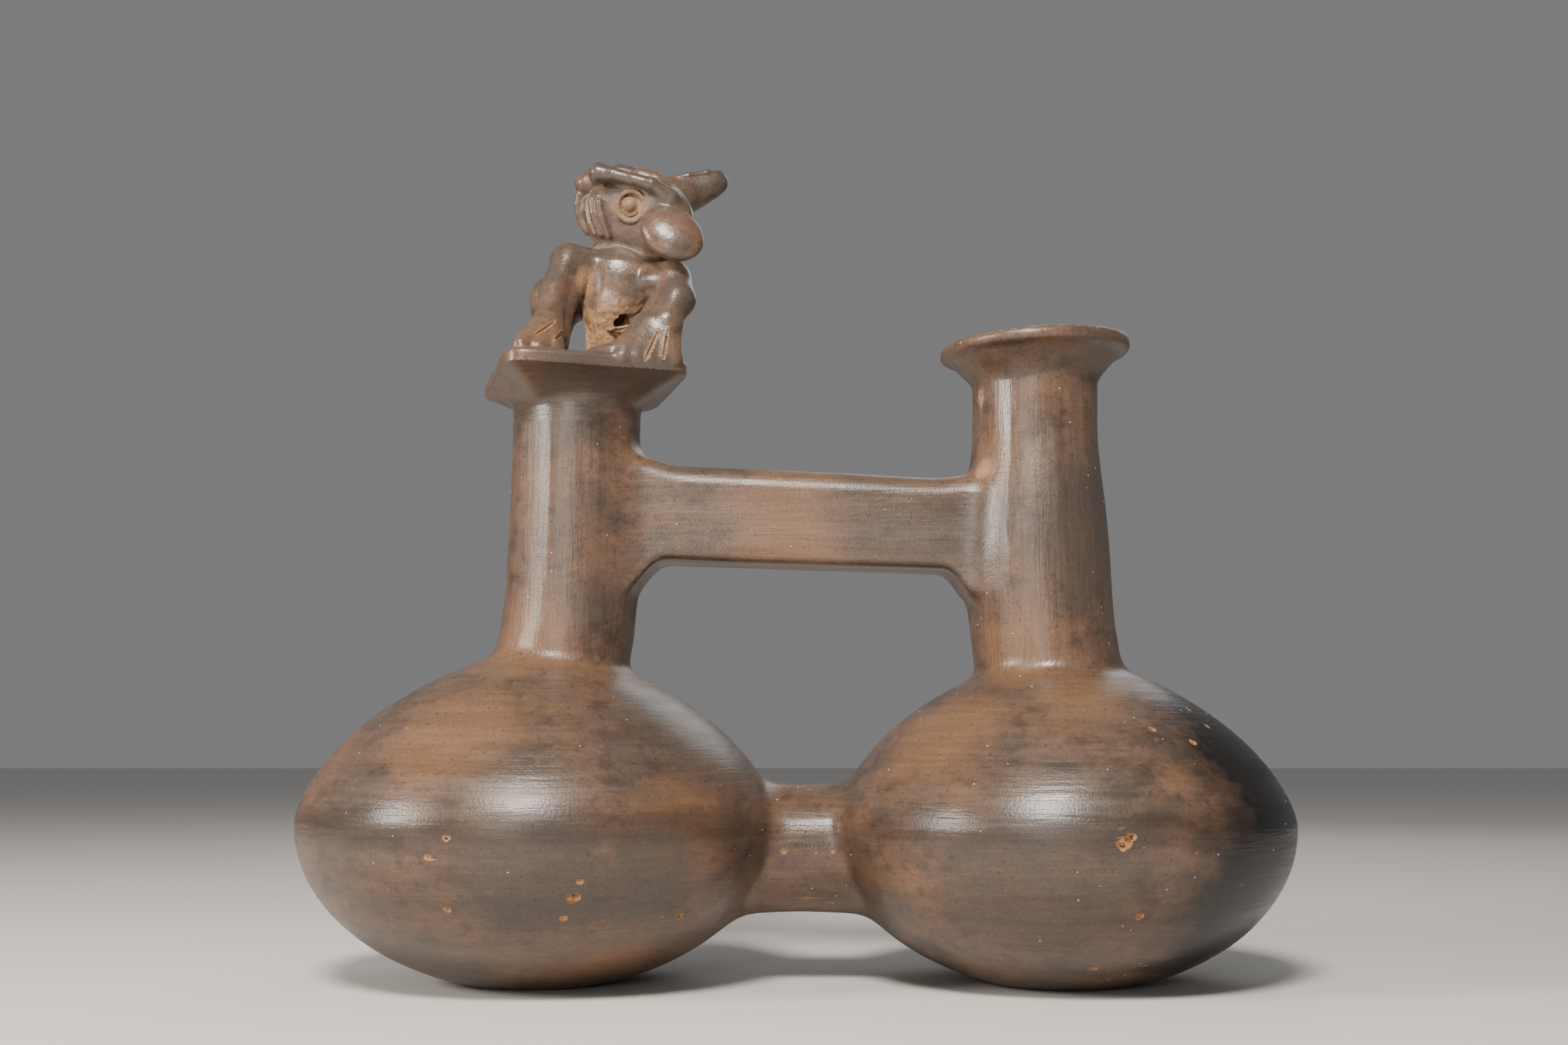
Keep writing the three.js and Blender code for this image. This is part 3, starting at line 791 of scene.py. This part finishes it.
points = np.empty(len(vessel_mesh.vertices) * 3)
vessel_mesh.vertices.foreach_get("co", points)
points = points.reshape(-1, 3)
directions = clay_slope(points)
for polygon in vessel_mesh.polygons:
    polygon.use_smooth = True
vessel_mesh.normals_split_custom_set_from_vertices(directions.tolist())
agree = [polygon.normal.dot(Vector(directions[polygon.vertices[0]])) > 0 for polygon in vessel_mesh.polygons]
print("share of faces that look along their slope", round(float(np.mean(agree)), 3))

# %% [markdown]
# Where the skin differs
#
# The fire, the pebble and the ground each left their marks in places of their own, and some shade is
# painted too. Brush strokes on a picture could record them, but weights worked out from the same
# distances stay right from every side: dust lies where the clay closes in on itself, bare clay shows where
# the burnish broke away, and the fire clouds are soft patches round a few places. A few soft grey patches
# are painted shade under the platform, under the near ear and beside the chest, and one black patch is the
# platform's painted shadow on the neck.

# %% Weights on the skin
# soft patches: the middle's x, y and z, the reach, and the strength
# black fire clouds; the last patch, under the platform on the left neck, is the platform's painted shadow
FIRE_CLOUD_AND_SHADOW = [(123, -4, 52, 72, 1.2), (112, -28, 18, 50, 1.1), (104, -36, 58, 30, 0.8),
              (-46, -20, 134, 14, 0.6)]
# grey patches, mostly smoke, one darker towards the left chamber's foot; painted shade under the platform
# (the patches at z 134, 143 and 144), under the near ear's lower rim (-29, -14, 178) and in the hollow
# between the chest and the right arm (-38, -9, 169)
SMOKE_AND_SHADE = [(-25, -22, 61, 30, 0.7), (-55, -56, 29, 26, 0.8), (-32, -48, 27, 20, 0.7), (52, -53, 28, 30, 0.7),
        (22, -10, 115, 26, 0.6), (43, -10, 108, 16, 0.7), (72, -12, 112, 30, 0.8), (-80, -31, 7, 20, 0.7),
        (-58, -16, 134, 12, 0.9), (74, 0, 150, 26, 0.5), (-70, 45, 40, 34, 0.6), (30, 40, 55, 34, 0.6),
        (-30, 10, 118, 26, 0.5), (70, 40, 20, 34, 0.7), (-46, -9, 199, 9, 0.8), (-62, -8, 172, 9, 0.8),
        (-28, -13, 168, 9, 0.8), (-23, 7, 202, 10, 0.9), (-29, -14, 178, 6, 0.6), (-52, -18, 143, 18, 1.0),
        (-35, -14, 144, 12, 0.8), (-38, -9, 169, 6, 0.9)]
WARM = [(-76, -42, 60, 24, 0.8), (33, -27, 60, 24, 0.8), (-1, -10, 108, 24, 0.8), (-25, -44, 38, 20, 0.7),
        (-42, -31, 8, 18, 0.7), (-66, -15, 80, 20, 0.8), (53, -16, 78, 16, 0.9), (-60, -17, 150, 16, 0.7),
        (66, -30, 68, 18, 0.7), (-100, -20, 45, 26, 0.6), (-62, 20, 80, 26, 0.7), (20, 12, 112, 30, 0.6),
        (90, 35, 50, 34, 0.5), (49, -10, 126, 10, 0.8)]
BARE = [(-53.6, -5.5, 172, 6, 0.7), (-51, -4, 164, 5, 0.5), (45.8, -6, 142.3, 3, 0.5),
        (46, -9, 124.5, 4, 0.6)]
FINGER = 2.5  # how near the clay may come to itself before a finger can't wipe the dust away


def patches(place, spots):
    """How far soft patches cover each place."""
    cover = 0
    for x, y, z, reach, strength in spots:
        cover = np.maximum(cover, strength * (1 - ramp(0.25 * reach, reach, ball(place, (x, y, z), 0))))
    return cover


def weights(points, directions):
    """What marks the skin at each point: the strokes' direction, the fire, the wear, the ground and some
    painted shade.
    """
    place = points.T
    x, y, z = place
    figure, within = skins_of(points)
    chambers = np.minimum(chamber(place, LEFT), chamber(place, RIGHT))
    necks = np.minimum(left_neck(place), right_neck(place))
    ahead = (points + FINGER * directions).T
    closed_in = FINGER - np.where(figure, upper_left(ahead), unworn(ahead))
    torso = (1 - ramp(0.5, 1.6, chest(place))) * ramp(171, 159, z) * ramp(6, 2, y)
    round_eye = 0.35 * (1 - ramp(3.4, 8, ball(place, near_eye, 0))) * ramp(-6, -8, y)
    opened = 0.6 - 0.6 * ramp(-0.05, 0.3, np.minimum(whistle(place), slits(place)))
    raw = np.maximum(np.maximum(torso, opened), round_eye)
    bare = np.maximum(np.where(figure, raw, 0), patches(place, BARE))
    speckled = 0.25 + 0.5 * ramp(20, 60, x) + 0.6 * (1 - ramp(1, 4, tube(place)))
    girdle = np.exp(-((z - LEFT["equator"]) / 4) ** 2) * (1 - ramp(1, 3, chambers)) * ramp(8, 16, tube(place))
    return {
        "upright": np.where(figure, 0, 1 - ramp(0.5, 4, necks)),
        "lengthwise": np.where(figure, 0, 1 - ramp(0.5, 3, bar(place))),
        "figure": ramp(150, 154, z) * figure,
        "dust": np.where(within, 0, ramp(0.35, 1.7, closed_in) * np.where(figure, 0.6, 1)),
        "bare": np.where(within, 0.55, bare),
        # the fire cloud weight also holds the platform's painted shadow on the neck, and the grey weight
        # painted shade under the platform, under the near ear and between the chest and the right arm
        "fire_cloud_and_shadow": np.where(within, 0, patches(place, FIRE_CLOUD_AND_SHADOW)),
        "grey": np.where(within, 0.6, patches(place, SMOKE_AND_SHADE)),
        "warm": np.where(within, 0, patches(place, WARM)),
        "keel": girdle,
        "pitted": 1 - ramp(0, 0.2, pits(place)),
        "flecks": np.where(within | figure, 0, speckled),
    }


for name, values in weights(points, directions).items():
    weight = vessel_mesh.attributes.new(name, "FLOAT", "POINT")
    weight.data.foreach_set("value", np.clip(values, 0, 1).astype(np.float32))
    print(name, "mean weight", round(float(np.mean(values)), 3))

# %% Bring the clay to its real size
vessel_mesh.transform(Matrix.Scale(MM, 4))
vessel = bpy.data.objects.new("vessel_clay", vessel_mesh)
bpy.context.scene.collection.objects.link(vessel)

# %% [markdown]
# Burnished, reduction-fired clay
#
# The potter rubbed the leather-hard clay with a pebble and fired it in a smoky, half-closed fire. So the
# skin is brown where air reached it, grey where it didn't, and black at the fire clouds. Some of the grey
# and black is painted shade and a painted shadow, under the platform, the near ear and beside the chest.
# The pebble left fine strokes: level ones round the chambers and along the bar, upright ones on the necks.
# Low-fired clay has an IOR near 1.5, and the burnish makes it smooth but not glassy.

# %% Helpers for materials
def linear(code):
    """An sRGB hex colour as linear RGBA."""
    parts = [int(code[at:at + 2], 16) / 255 for at in (1, 3, 5)]
    return [c / 12.92 if c <= 0.04045 else ((c + 0.055) / 1.055) ** 2.4 for c in parts] + [1.0]


def add(tree, kind, settings=None, **inputs):
    """One node with its settings. An input is a plain value or another node's output."""
    node = tree.nodes.new(kind)
    for name, value in (settings or {}).items():
        setattr(node, name, value)
    for name, value in inputs.items():
        socket = node.inputs[int(name[1:])] if name[1:].isdigit() else node.inputs[name.replace("_", " ")]
        if isinstance(value, bpy.types.NodeSocket):
            tree.links.new(value, socket)
        else:
            socket.default_value = value
    return node


def plain(name, code, roughness):
    """A material of one colour."""
    material = bpy.data.materials.new(name)
    material.use_nodes = True
    shader = material.node_tree.nodes["Principled BSDF"]
    shader.inputs["Base Color"].default_value = linear(code)
    shader.inputs["Roughness"].default_value = roughness
    return material


# %% Start the clay: its places in millimetres
# soot also paints the platform's shadow on the left neck, and grey also paints shade under the platform, the
# near ear and beside the chest
CLAY = {"brown": "#634d3e", "grey": "#4a413a", "warm": "#70543e", "dark": "#302722", "soot_and_shadow": "#0c0a09",
        "bare": "#a8815c", "dust": "#a18871", "pit": "#a9784a"}
clay_material = bpy.data.materials.new("burnished_reduction_fired_clay")
clay_material.use_nodes = True
tree = clay_material.node_tree
tree.nodes.clear()
coordinates = add(tree, "ShaderNodeTexCoord")
millimetres = add(tree, "ShaderNodeVectorMath", {"operation": "MULTIPLY"},
                  _0=coordinates.outputs["Object"], _1=(1 / MM, 1 / MM, 1 / MM)).outputs[0]
weight_of = {name: add(tree, "ShaderNodeAttribute", {"attribute_name": name}).outputs["Fac"]
             for name in ("upright", "lengthwise", "figure", "dust", "bare", "fire_cloud_and_shadow", "grey", "warm",
                          "keel", "pitted")}


def noise(stretch, detail=3.0, roughness=0.55):
    """Noise whose lumps measure 1 / stretch millimetres along each axis."""
    place = add(tree, "ShaderNodeVectorMath", {"operation": "MULTIPLY"}, _0=millimetres, _1=stretch)
    return add(tree, "ShaderNodeTexNoise", Vector=place.outputs[0], Scale=1.0, Detail=detail,
               Roughness=roughness).outputs[0]


def strokes(across, along):
    """Burnishing strokes: level on the chambers, upright on the necks, lengthwise on the bar."""
    marks = noise((along, along, across))
    for name, stretch in (("upright", (across, across, along)), ("lengthwise", (along, across, across)),
                          ("figure", (0.4 * across, 0.4 * across, 0.4 * across))):
        marks = add(tree, "ShaderNodeMix", _0=weight_of[name], _2=marks, _3=noise(stretch)).outputs[0]
    return marks


fine_strokes = strokes(1.1, 0.07)
pebble_strokes = strokes(0.2, 0.016)
grain = noise((1.7, 1.7, 1.7), 2.0)
blotches = noise((0.13, 0.13, 0.17), 5.0, 0.62)

# %% [markdown]
# Its colours lie over each other as they came: the fired brown with its mottling, the patches where the
# fire smoked and the patches of painted shade, then the wear. Noise breaks the edge of every patch,
# because smoke and dust have no outline.

# %% The clay's colours, from the fire to the wear
# the noise's stretch, the values between which it comes in, the strength and the colour
MOTTLING = [((0.045, 0.045, 0.06), 0.42, 0.62, 0.75, "grey"), ((0.06, 0.05, 0.085), 0.5, 0.68, 0.7, "warm"),
            ((0.1, 0.11, 0.2), 0.5, 0.7, 0.6, "dark"), ((0.33, 0.3, 0.4), 0.52, 0.7, 0.45, "dark")]
# the weight, its colour and the strength
# the grey layer also paints shade under the platform, under the near ear and beside the chest, and the soot
# layer paints the platform's shadow on the left neck
LAYERS = [("warm", "warm", 0.9), ("grey", "grey", 0.85), ("keel", "dark", 0.5), ("fire_cloud_and_shadow", "soot_and_shadow", 0.97),
          ("dust", "dust", 0.42), ("bare", "bare", 0.9), ("pitted", "pit", 0.9)]
colour = linear(CLAY["brown"])
for stretch, low, high, strength, name in MOTTLING:
    share = add(tree, "ShaderNodeMapRange", Value=noise(stretch, 5.0, 0.6), From_Min=low, From_Max=high,
                To_Max=strength)
    colour = add(tree, "ShaderNodeMix", {"data_type": "RGBA"}, _0=share.outputs[0], _6=colour,
                 _7=linear(CLAY[name])).outputs[2]
for name, paint, strength in LAYERS:
    ragged = add(tree, "ShaderNodeMath", {"operation": "MULTIPLY_ADD"}, _0=blotches, _1=0.9, _2=-0.45)
    ragged = add(tree, "ShaderNodeMath", {"operation": "ADD"}, _0=ragged.outputs[0], _1=weight_of[name])
    share = add(tree, "ShaderNodeMapRange", Value=ragged.outputs[0], From_Min=0.15, From_Max=0.75,
                To_Max=strength)
    colour = add(tree, "ShaderNodeMix", {"data_type": "RGBA"}, _0=share.outputs[0], _6=colour,
                 _7=linear(CLAY[paint])).outputs[2]
for marks, low, high in ((fine_strokes, 0.88, 1.1), (pebble_strokes, 0.92, 1.08), (grain, 0.84, 1.12)):
    value = add(tree, "ShaderNodeMapRange", Value=marks, From_Min=0.3, From_Max=0.7, To_Min=low, To_Max=high)
    colour = add(tree, "ShaderNodeHueSaturation", Value=value.outputs[0], Color=colour).outputs[0]

# %% Dark temper grains in the skin
dots = noise((1.15, 1.15, 1.15), 1.0)
share = add(tree, "ShaderNodeMapRange", Value=dots, From_Min=0.66, From_Max=0.74, To_Max=0.6)
colour = add(tree, "ShaderNodeMix", {"data_type": "RGBA"}, _0=share.outputs[0], _6=colour,
             _7=linear(CLAY["dark"])).outputs[2]

# %% [markdown]
# The polish follows the pebble: each stroke a little smoother or duller than the next. Bare clay and
# dust have none. The relief of strokes and grains is far below a tenth of a millimetre, so it is bump.

# %% The clay's polish and relief
polish = add(tree, "ShaderNodeMapRange", Value=pebble_strokes, From_Min=0.3, From_Max=0.7, To_Min=0.24,
             To_Max=0.42).outputs[0]
polish = add(tree, "ShaderNodeMath", {"operation": "MULTIPLY_ADD"}, _0=fine_strokes, _1=0.14, _2=polish)
polish = add(tree, "ShaderNodeMath", {"operation": "SUBTRACT"}, _0=polish.outputs[0], _1=0.06).outputs[0]
for name, rough in (("figure", 0.27), ("dust", 0.7), ("bare", 0.95), ("pitted", 0.95)):
    polish = add(tree, "ShaderNodeMix", _0=weight_of[name], _2=polish, _3=rough).outputs[0]
crumbs = add(tree, "ShaderNodeMath", {"operation": "MULTIPLY"}, _0=noise((0.9, 0.9, 0.9), 4.0, 0.7),
             _1=weight_of["bare"])
relief = add(tree, "ShaderNodeMath", {"operation": "MULTIPLY_ADD"}, _0=crumbs.outputs[0], _1=6.0,
             _2=fine_strokes)
relief = add(tree, "ShaderNodeMath", {"operation": "MULTIPLY_ADD"}, _0=grain, _1=0.5, _2=relief.outputs[0])
bump = add(tree, "ShaderNodeBump", Strength=0.5, Distance=0.22 * MM, Height=relief.outputs[0])
shader = add(tree, "ShaderNodeBsdfPrincipled", Base_Color=colour, Roughness=polish, IOR=1.5,
             Normal=bump.outputs[0])
add(tree, "ShaderNodeOutputMaterial", Surface=shader.outputs[0])
vessel_mesh.materials.append(clay_material)
print("clay material with", len(tree.nodes), "nodes")

# %% [markdown]
# Pale temper
#
# Crushed grains of shell and stone were kneaded into the clay so that it would not crack in the fire.
# Where the pebble rubbed over them they show as pale specks. They repeat over the skin, so geometry
# nodes scatter them, thicker where the photograph shows more.

# %% Scatter the temper grains
def scatter_group(material):
    group = bpy.data.node_groups.new("temper_scatter", "GeometryNodeTree")
    for name, kind in (("Clay", "NodeSocketGeometry"), ("Grains per Square Metre", "NodeSocketFloat"),
                       ("Grain Radius", "NodeSocketFloat"), ("Seed", "NodeSocketInt")):
        group.interface.new_socket(name, in_out="INPUT", socket_type=kind)
    group.interface.new_socket("Grains", in_out="OUTPUT", socket_type="NodeSocketGeometry")
    given = add(group, "NodeGroupInput")
    weight = add(group, "GeometryNodeInputNamedAttribute", Name="flecks")
    density = add(group, "ShaderNodeMath", {"operation": "MULTIPLY"}, _0=weight.outputs[0],
                  _1=given.outputs["Grains per Square Metre"])
    points = add(group, "GeometryNodeDistributePointsOnFaces", Mesh=given.outputs["Clay"],
                 Density=density.outputs[0], Seed=given.outputs["Seed"])
    sphere = add(group, "GeometryNodeMeshIcoSphere", Radius=given.outputs["Grain Radius"], Subdivisions=2)
    size = add(group, "FunctionNodeRandomValue", {"data_type": "FLOAT_VECTOR"}, _0=(0.4, 0.4, 0.25),
               _1=(1.5, 1.2, 0.4), Seed=given.outputs["Seed"])
    grains = add(group, "GeometryNodeInstanceOnPoints", Points=points.outputs["Points"],
                 Instance=sphere.outputs["Mesh"], Rotation=points.outputs["Rotation"], Scale=size.outputs[0])
    solid = add(group, "GeometryNodeRealizeInstances", Geometry=grains.outputs[0])
    painted = add(group, "GeometryNodeSetMaterial", Geometry=solid.outputs[0], Material=material)
    add(group, "NodeGroupOutput", Grains=painted.outputs[0])
    return group


def grown(name, start_mesh, group, **values):
    """A plain mesh object made by a node group from a starting mesh."""
    holder = bpy.data.objects.new(name, start_mesh)
    bpy.context.scene.collection.objects.link(holder)
    grow = holder.modifiers.new("Grow", "NODES")
    grow.node_group = group
    for item in group.interface.items_tree:
        if item.in_out == "INPUT" and item.name in values:
            grow[item.identifier] = values[item.name]
    made = bpy.data.meshes.new_from_object(holder.evaluated_get(bpy.context.evaluated_depsgraph_get()))
    holder.modifiers.clear()
    holder.data = made
    made.name = name
    print(name, "has", len(made.polygons), "faces")
    return holder


temper = plain("pale_stone_temper", "#bfa07c", 0.75)
grains = grown("temper_grains", vessel_mesh.copy(), scatter_group(temper),
               **{"Grains per Square Metre": 7000.0, "Grain Radius": 0.22 * MM, "Seed": 4})

# %% [markdown]
# Joining the frame
#
# The one CAD solid stands for the whole vessel, so this one mesh replaces it and rides on its body.

# %% Replace the CAD solid
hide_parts("vessel")
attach(vessel, "root")
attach(grains, "root")

# %% [markdown]
# Floor and light
#
# A pale floor and four soft lamps: the key high in front, one low on the left that throws the shadow to
# the right as in the photograph, a small one beside the camera that the burnish mirrors, and a weak one
# behind for the edges.

# %% Stage
REACH = 6  # how many metres the floor reaches each way
corners = [(-REACH, -REACH, 0), (REACH, -REACH, 0), (REACH, REACH, 0), (-REACH, REACH, 0)]
floor_mesh = bpy.data.meshes.new("floor")
floor_mesh.from_pydata(corners, [], [(0, 1, 2, 3)])
floor = bpy.data.objects.new("floor", floor_mesh)
bpy.context.scene.collection.objects.link(floor)
floor_mesh.materials.append(plain("matt_plaster", "#d9d6d1", 0.9))


def lamp(name, place, aim, size, watts, colour="#ffffff"):
    light = bpy.data.lights.new(name, "AREA")
    light.shape = "DISK"
    light.size = size
    light.energy = watts
    light.color = linear(colour)[:3]
    holder = bpy.data.objects.new(name, light)
    holder.location = place
    holder.rotation_euler = (Vector(aim) - Vector(place)).to_track_quat("-Z", "Y").to_euler()
    bpy.context.scene.collection.objects.link(holder)


lamp("key", (-0.1, -0.6, 0.62), (0, 0, 0.09), 0.22, 10.5, "#fff8f1")
lamp("side", (-0.75, -0.38, 0.34), (0, 0, 0.09), 0.24, 6, "#fff8f1")
lamp("front", (-0.22, -0.95, 0.2), (-0.02, 0, 0.13), 0.16, 1.6, "#fff8f1")
lamp("rim", (0.25, 0.7, 0.6), (0, 0, 0.1), 0.5, 1)
world = bpy.data.worlds.new("studio")
world.use_nodes = True
world.node_tree.nodes["Background"].inputs["Color"].default_value = linear("#e8e8ea")
world.node_tree.nodes["Background"].inputs["Strength"].default_value = 0.25
bpy.context.scene.world = world

# %% [markdown]
# The camera
#
# It stands where the photograph's seems to have stood: close to the vessel, low over the table and tilted
# up. Place, pitch and focal length were chosen so that the vessel's outline falls where it does there.

# %% Camera
PHOTO = {"width": 2353, "focal_pixels": 2731, "pitch": math.radians(7.2), "place": (-2.9, -450, 55)}
lens = bpy.data.cameras.new("camera")
lens.sensor_width = 36
lens.lens = PHOTO["focal_pixels"] / PHOTO["width"] * lens.sensor_width
lens.clip_start = 0.01
camera = bpy.data.objects.new("camera", lens)
camera.location = Vector(PHOTO["place"]) * MM
camera.rotation_euler = (math.pi / 2 + PHOTO["pitch"], 0, 0)
bpy.context.scene.collection.objects.link(camera)
bpy.context.scene.camera = camera
